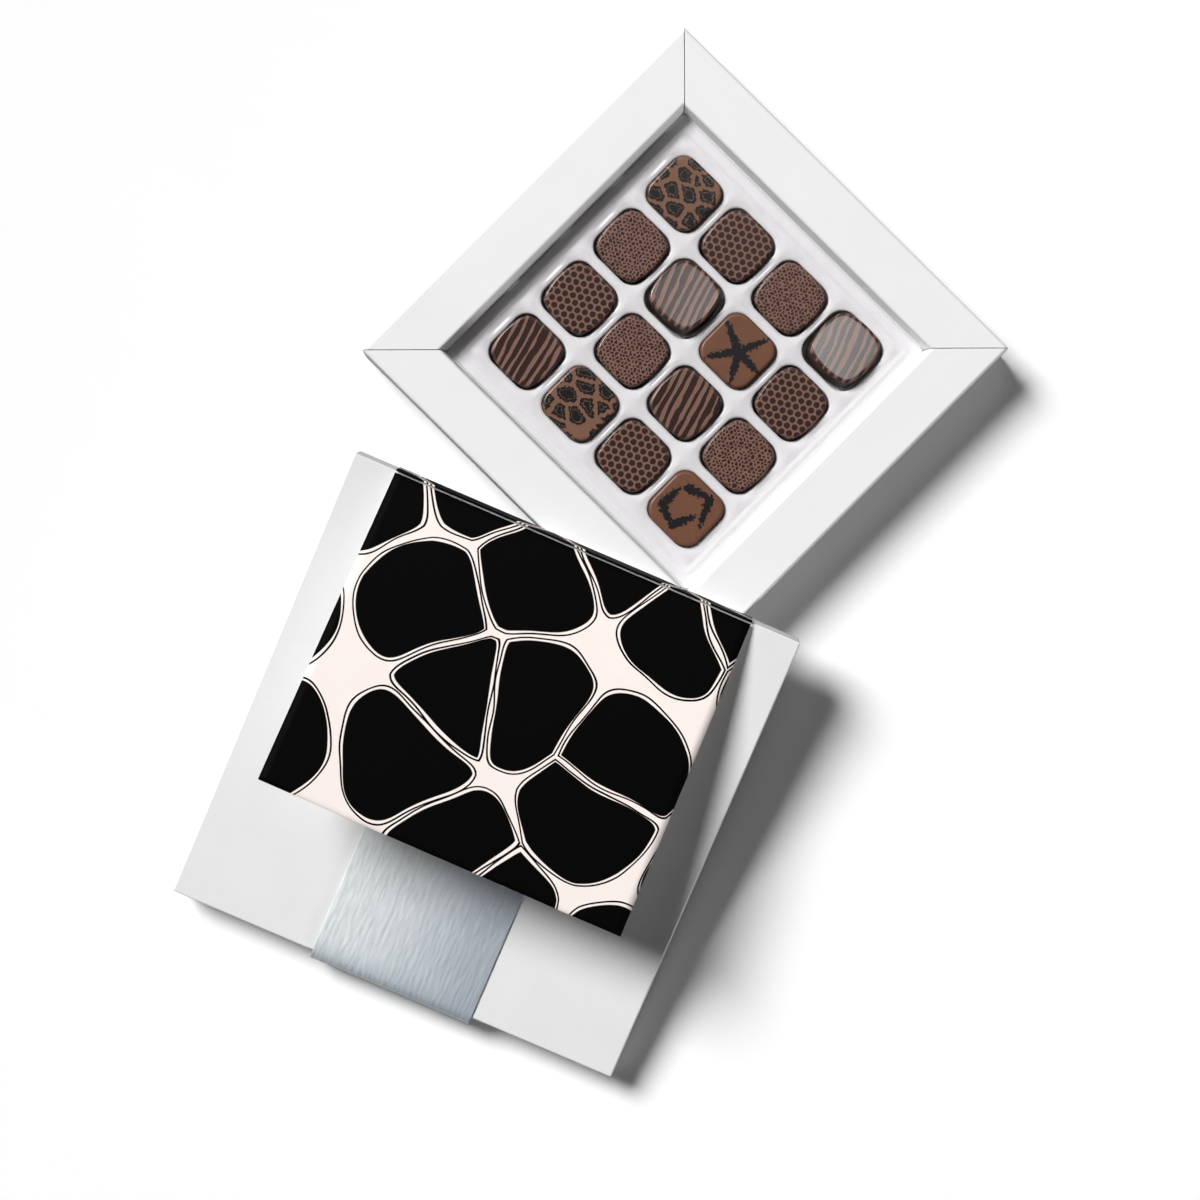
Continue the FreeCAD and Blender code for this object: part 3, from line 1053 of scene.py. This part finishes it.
def tab_skin():
    """The glued tab and the rounded crease above it, seen from the side and drawn across the lid."""
    left = -print_width / 2
    foot = lid_height - tab_drop - crease_height
    outline = [(0.0, foot), (print_card, foot)]
    outline += [on_circle((0.0, 0.0), print_card, degrees) for degrees in range(0, 91, 15)]
    skin = bmesh.new()
    rows = []
    for x in (left, left + print_width):
        rows.append([skin.verts.new((x, y, z)) for y, z in outline])
    count = len(outline)
    for here in range(count):
        there = (here + 1) % count
        skin.faces.new((rows[0][here], rows[1][here], rows[1][there], rows[0][there]))
    skin.faces.new(rows[0])
    skin.faces.new(rows[1])
    bmesh.ops.recalc_face_normals(skin, faces=skin.faces)
    flat_map(skin, "print", lambda point: (point.x, point.z))
    return skin


def flap_skin():
    """The free part of the card: a little bowed along its length, and lifted more at its left corner."""
    columns = 48
    rows = 60
    skin = bmesh.new()
    grid = []
    for row in range(rows + 1):
        share = row / rows
        line = []
        for column in range(columns + 1):
            side = column / columns - 0.5
            twist = math.radians(flap_twist) * (0.5 - side)
            out = crease_gap + print_length * share
            rise = print_card + flap_bow * math.sin(math.pi * share)
            line.append(skin.verts.new((
                print_width * side, -out * math.cos(twist), rise + out * math.sin(twist),
            )))
        grid.append(line)
    for near, far in zip(grid, grid[1:]):
        for here in range(columns):
            skin.faces.new((near[here], far[here], far[here + 1], near[here + 1]))
    flat_map(skin, "print", lambda point: (point.x, -point.y))
    return skin


piece(
    "card_tab_and_crease", to_mesh(tab_skin(), "card_tab_and_crease", crease_place, smooth=False),
    [printed_card], "lid", "printed_card", "card_tab",
)
flap_place = crease_place @ Matrix.Rotation(math.radians(-flap_rest_angle), 4, "X")
flap = piece(
    "printed_flap", to_mesh(flap_skin(), "printed_flap", flap_place), [printed_card, plain_card],
    "flap", "printed_card", "card_flap",
)
thicken(flap, print_card, rim_material=1)


# Pieces of the frame that show as they are

for name, node in frame["nodes"].items():
    if node.hide_render:
        continue
    node.data.materials.clear()
    node.data.materials.append(lining_paper if name.startswith("lid_") else frame_card)


# Table, light and camera, in metres and degrees. Each fill has a bearing and a share of the light.

table_half = 4.0
table_white = 0.98
table_bounce = 0.3
table_glow = 0.02
sun_bearing = 93.0
sun_elevation = 46.0
sun_share = 0.95
sun_width = 24.0
fills = {-90.0: 0.02, 0.0: 0.003, 180.0: 0.004}
fill_elevation = 3.5
fill_width = 5.0
sky_share = 0.005
sky_in_gloss = 0.12
sheen_place = Vector((0.417, 0.117, 1.214))
sheen_run = Vector((0.133, -0.301, 0.0))
sheen_length = 0.38
sheen_width = 0.14
sheen_power = 0.45
camera_place = Vector((-0.1218, -0.0486, 1.1339))
camera_target = Vector((-0.0886, -0.0429, 0.0200))
camera_heading = math.radians(-45.25)
camera_lens = 90.0


def sun(name, bearing, elevation, share, width):
    """A lamp far away that gives a level white surface this share of its light."""
    lamp = bpy.data.lights.new(name, "SUN")
    lamp.energy = share * math.pi / math.sin(math.radians(elevation))
    lamp.angle = math.radians(width)
    made = added(name, lamp)
    turn = Matrix.Rotation(math.radians(bearing), 3, "Z") @ Matrix.Rotation(math.radians(-elevation), 3, "Y")
    made.rotation_euler = (turn @ Vector((1.0, 0.0, 0.0))).to_track_quat("Z", "Y").to_euler()


def sheen_lamp():
    """A strip lamp that shows in the glossy tops that lean towards it."""
    lamp = bpy.data.lights.new("sheen", "AREA")
    lamp.shape = "RECTANGLE"
    lamp.size = sheen_length
    lamp.size_y = sheen_width
    lamp.energy = sheen_power
    made = added("sheen", lamp)
    back = sheen_place.normalized()
    side = back.cross(sheen_run).normalized()
    along = side.cross(back)
    made.matrix_world = Matrix.Translation(sheen_place) @ Matrix((along, side, back)).transposed().to_4x4()


def sky():
    """A dim even sky that looks white to the camera and grey in glossy surfaces."""
    world = bpy.data.worlds.new("sky")
    world.use_nodes = True
    bpy.context.scene.world = world
    nodes = Nodes(world.node_tree)
    path = nodes.add("ShaderNodeLightPath", output=("Is Camera Ray", "Is Transmission Ray", "Is Glossy Ray"))
    seen = nodes.math("MAXIMUM", path[0], path[1])
    level = nodes.math("MAXIMUM", seen, sky_in_gloss * path[2])
    background = world.node_tree.nodes["Background"]
    nodes.put(background.inputs["Strength"], nodes.math("MAXIMUM", level, sky_share))
    background.inputs["Color"].default_value = (1.0, 1.0, 1.0, 1.0)


def table():
    """A wide white table top that throws back less light than it shows."""
    mesh = bpy.data.meshes.new("table")
    corners = [(x * table_half, y * table_half, 0) for x, y in ((-1, -1), (1, -1), (1, 1), (-1, 1))]
    mesh.from_pydata(corners, [], [(0, 1, 2, 3)])
    finish = bpy.data.materials.new("table")
    finish.use_nodes = True
    nodes = Nodes(finish.node_tree)
    shader = finish.node_tree.nodes["Principled BSDF"]
    shader.inputs["Roughness"].default_value = 1.0
    shader.inputs["Specular IOR Level"].default_value = 0.0
    shader.inputs["Emission Color"].default_value = (1.0, 1.0, 1.0, 1.0)
    seen = nodes.add("ShaderNodeLightPath", output="Is Camera Ray")
    bounce = (table_bounce, table_bounce, table_bounce, 1.0)
    white = (table_white, table_white, table_white, 1.0)
    nodes.put(shader.inputs["Base Color"], nodes.mix(seen, bounce, white))
    nodes.put(shader.inputs["Emission Strength"], table_glow * seen)
    mesh.materials.append(finish)
    made = added("table", mesh)


def camera():
    """Looks down from above the lid, turned so that the base stands on its corner."""
    data = bpy.data.cameras.new("camera")
    data.lens = camera_lens
    made = added("camera", data)
    ahead = (camera_target - camera_place).normalized()
    right = Vector((math.cos(camera_heading), math.sin(camera_heading), 0.0))
    up = right.cross(ahead).normalized()
    right = ahead.cross(up)
    made.matrix_world = Matrix.Translation(camera_place) @ Matrix((right, up, -ahead)).transposed().to_4x4()
    bpy.context.scene.camera = made


sun("key", sun_bearing, sun_elevation, sun_share, sun_width)
for bearing, share in fills.items():
    sun("fill", bearing, fill_elevation, share, fill_width)
sheen_lamp()
sky()
table()
camera()
bpy.context.scene.view_settings.view_transform = "Standard"
